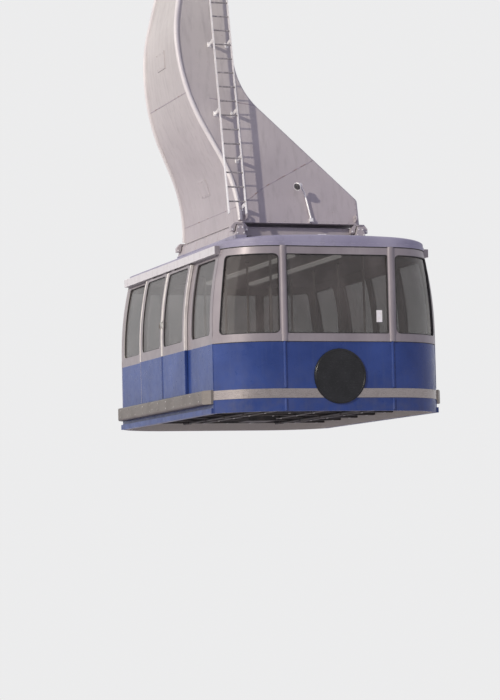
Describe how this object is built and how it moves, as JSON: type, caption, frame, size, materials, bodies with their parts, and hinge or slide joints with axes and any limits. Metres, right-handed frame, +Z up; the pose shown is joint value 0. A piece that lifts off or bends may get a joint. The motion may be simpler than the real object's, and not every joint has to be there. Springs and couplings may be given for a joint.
{
  "type": "cable car cabin with hanger and carriage",
  "caption": "Large reversible cable car: hollow cabin with bowed ends and sliding doors, a box hanger leaning round the ropes, and a carriage of grooved wheels.",
  "frame": {"origin": "midway between the two track ropes, level with their axes, in the middle of the carriage", "axes": "+Z up, +Y along the line towards the rear of the vehicle, +X across the line towards the side that the hanger leaves open to the ropes"},
  "size_m": [4.08, 6.49, 9.93],
  "materials": {
    "body_blue": "gloss dark blue paint",
    "body_silver": "satin silver",
    "cabin_glass": "tinted glass",
    "roof_paint": "light grey paint",
    "hanger_paint": "light warm grey paint",
    "track_paint": "white paint",
    "rail_metal": "brushed aluminium",
    "stripe_metal": "brushed",
    "disc_black": "gloss black",
    "black_rubber": "matt rubber",
    "floor_rubber": "studded rubber",
    "underframe_paint": "matt black paint",
    "galvanised": "hot-dip galvanised",
    "machined_steel": "machined",
    "carriage_paint": "grey paint",
    "wheel_steel": "worn cast steel"
  },
  "bodies": {
    "carriage": {"main_beam": "carriage_paint", "main_pin": "machined_steel", "drawbar": "carriage_paint", "drawbar_strut": "carriage_paint"},
    "cabin": {"hanger_arm": "hanger_paint", "hanger_feet": "hanger_paint", "foot_liners": "black_rubber", "suspension_frame": "hanger_paint", "ladder": "galvanised", "ladder_rungs": "galvanised", "ladder_brackets": "galvanised", "roof_lamp": "galvanised", "roof": "roof_paint", "floor_deck": "floor_rubber", "underframe": "underframe_paint", "end_stripes": "stripe_metal", "end_discs": "disc_black", "grab_poles": "machined_steel", "door_tracks": "track_paint", "rub_rails": "rail_metal", "end_wall_front": "body_blue", "end_frame_front": "body_silver", "end_glass_front": "cabin_glass", "end_wall_rear": "body_blue", "end_frame_rear": "body_silver", "end_glass_rear": "cabin_glass", "side_wall_left": "body_blue", "side_frame_left": "body_silver", "side_glass_left": "cabin_glass", "side_wall_right": "body_blue", "side_frame_right": "body_silver", "side_glass_right": "cabin_glass"},
    "door_left_front": {"door_panel_left_front": "body_blue", "door_leaf_left_front": "body_silver", "door_glass_left_front": "cabin_glass"},
    "door_left_rear": {"door_panel_left_rear": "body_blue", "door_leaf_left_rear": "body_silver", "door_glass_left_rear": "cabin_glass"},
    "door_right_front": {"door_panel_right_front": "body_blue", "door_leaf_right_front": "body_silver", "door_glass_right_front": "cabin_glass"},
    "door_right_rear": {"door_panel_right_rear": "body_blue", "door_leaf_right_rear": "body_silver", "door_glass_right_rear": "cabin_glass"},
    "rocker_front": {"rocker_front": "carriage_paint", "rocker_pins_front": "machined_steel"},
    "bogie_1": {"bogie_1": "carriage_paint"},
    "wheelset_1": {"wheelset_1": "wheel_steel"},
    "wheelset_2": {"wheelset_2": "wheel_steel"},
    "bogie_2": {"bogie_2": "carriage_paint"},
    "wheelset_3": {"wheelset_3": "wheel_steel"},
    "wheelset_4": {"wheelset_4": "wheel_steel"},
    "rocker_rear": {"rocker_rear": "carriage_paint", "rocker_pins_rear": "machined_steel"},
    "bogie_3": {"bogie_3": "carriage_paint"},
    "wheelset_5": {"wheelset_5": "wheel_steel"},
    "wheelset_6": {"wheelset_6": "wheel_steel"},
    "bogie_4": {"bogie_4": "carriage_paint"},
    "wheelset_7": {"wheelset_7": "wheel_steel"},
    "wheelset_8": {"wheelset_8": "wheel_steel"}
  },
  "joints": [
    {"name": "hanger_swing", "type": "hinge", "parent": "carriage", "child": "cabin", "pos_m": [-1.1, 0, 0.84], "axis": [1, 0, 0], "range_deg": [-35, 35]},
    {"name": "door_slide_left_front", "type": "slide", "parent": "cabin", "child": "door_left_front", "axis": [0, -1, 0], "range_m": [0, 1.2]},
    {"name": "door_slide_left_rear", "type": "slide", "parent": "cabin", "child": "door_left_rear", "axis": [0, 1, 0], "range_m": [0, 1.2]},
    {"name": "door_slide_right_front", "type": "slide", "parent": "cabin", "child": "door_right_front", "axis": [0, -1, 0], "range_m": [0, 1.2]},
    {"name": "door_slide_right_rear", "type": "slide", "parent": "cabin", "child": "door_right_rear", "axis": [0, 1, 0], "range_m": [0, 1.2]},
    {"name": "rocker_tilt_front", "type": "hinge", "parent": "carriage", "child": "rocker_front", "pos_m": [0, -1.6, 0.66], "axis": [1, 0, 0], "range_deg": [-5, 5]},
    {"name": "bogie_tilt_1", "type": "hinge", "parent": "rocker_front", "child": "bogie_1", "pos_m": [0, -2.35, 0.4], "axis": [1, 0, 0], "range_deg": [-8, 8]},
    {"name": "wheel_spin_1", "type": "hinge", "parent": "bogie_1", "child": "wheelset_1", "pos_m": [0, -2.69, 0.225], "axis": [1, 0, 0], "continuous": true},
    {"name": "wheel_spin_2", "type": "hinge", "parent": "bogie_1", "child": "wheelset_2", "pos_m": [0, -2.01, 0.225], "axis": [1, 0, 0], "continuous": true},
    {"name": "bogie_tilt_2", "type": "hinge", "parent": "rocker_front", "child": "bogie_2", "pos_m": [0, -0.85, 0.4], "axis": [1, 0, 0], "range_deg": [-8, 8]},
    {"name": "wheel_spin_3", "type": "hinge", "parent": "bogie_2", "child": "wheelset_3", "pos_m": [0, -1.19, 0.225], "axis": [1, 0, 0], "continuous": true},
    {"name": "wheel_spin_4", "type": "hinge", "parent": "bogie_2", "child": "wheelset_4", "pos_m": [0, -0.51, 0.225], "axis": [1, 0, 0], "continuous": true},
    {"name": "rocker_tilt_rear", "type": "hinge", "parent": "carriage", "child": "rocker_rear", "pos_m": [0, 1.6, 0.66], "axis": [1, 0, 0], "range_deg": [-5, 5]},
    {"name": "bogie_tilt_3", "type": "hinge", "parent": "rocker_rear", "child": "bogie_3", "pos_m": [0, 0.85, 0.4], "axis": [1, 0, 0], "range_deg": [-8, 8]},
    {"name": "wheel_spin_5", "type": "hinge", "parent": "bogie_3", "child": "wheelset_5", "pos_m": [0, 0.51, 0.225], "axis": [1, 0, 0], "continuous": true},
    {"name": "wheel_spin_6", "type": "hinge", "parent": "bogie_3", "child": "wheelset_6", "pos_m": [0, 1.19, 0.225], "axis": [1, 0, 0], "continuous": true},
    {"name": "bogie_tilt_4", "type": "hinge", "parent": "rocker_rear", "child": "bogie_4", "pos_m": [0, 2.35, 0.4], "axis": [1, 0, 0], "range_deg": [-8, 8]},
    {"name": "wheel_spin_7", "type": "hinge", "parent": "bogie_4", "child": "wheelset_7", "pos_m": [0, 2.01, 0.225], "axis": [1, 0, 0], "continuous": true},
    {"name": "wheel_spin_8", "type": "hinge", "parent": "bogie_4", "child": "wheelset_8", "pos_m": [0, 2.69, 0.225], "axis": [1, 0, 0], "continuous": true}
  ],
  "couplings": [
    {"joint": "door_slide_left_rear", "follows": "door_slide_left_front", "ratio": 1},
    {"joint": "door_slide_right_rear", "follows": "door_slide_right_front", "ratio": 1}
  ]
}
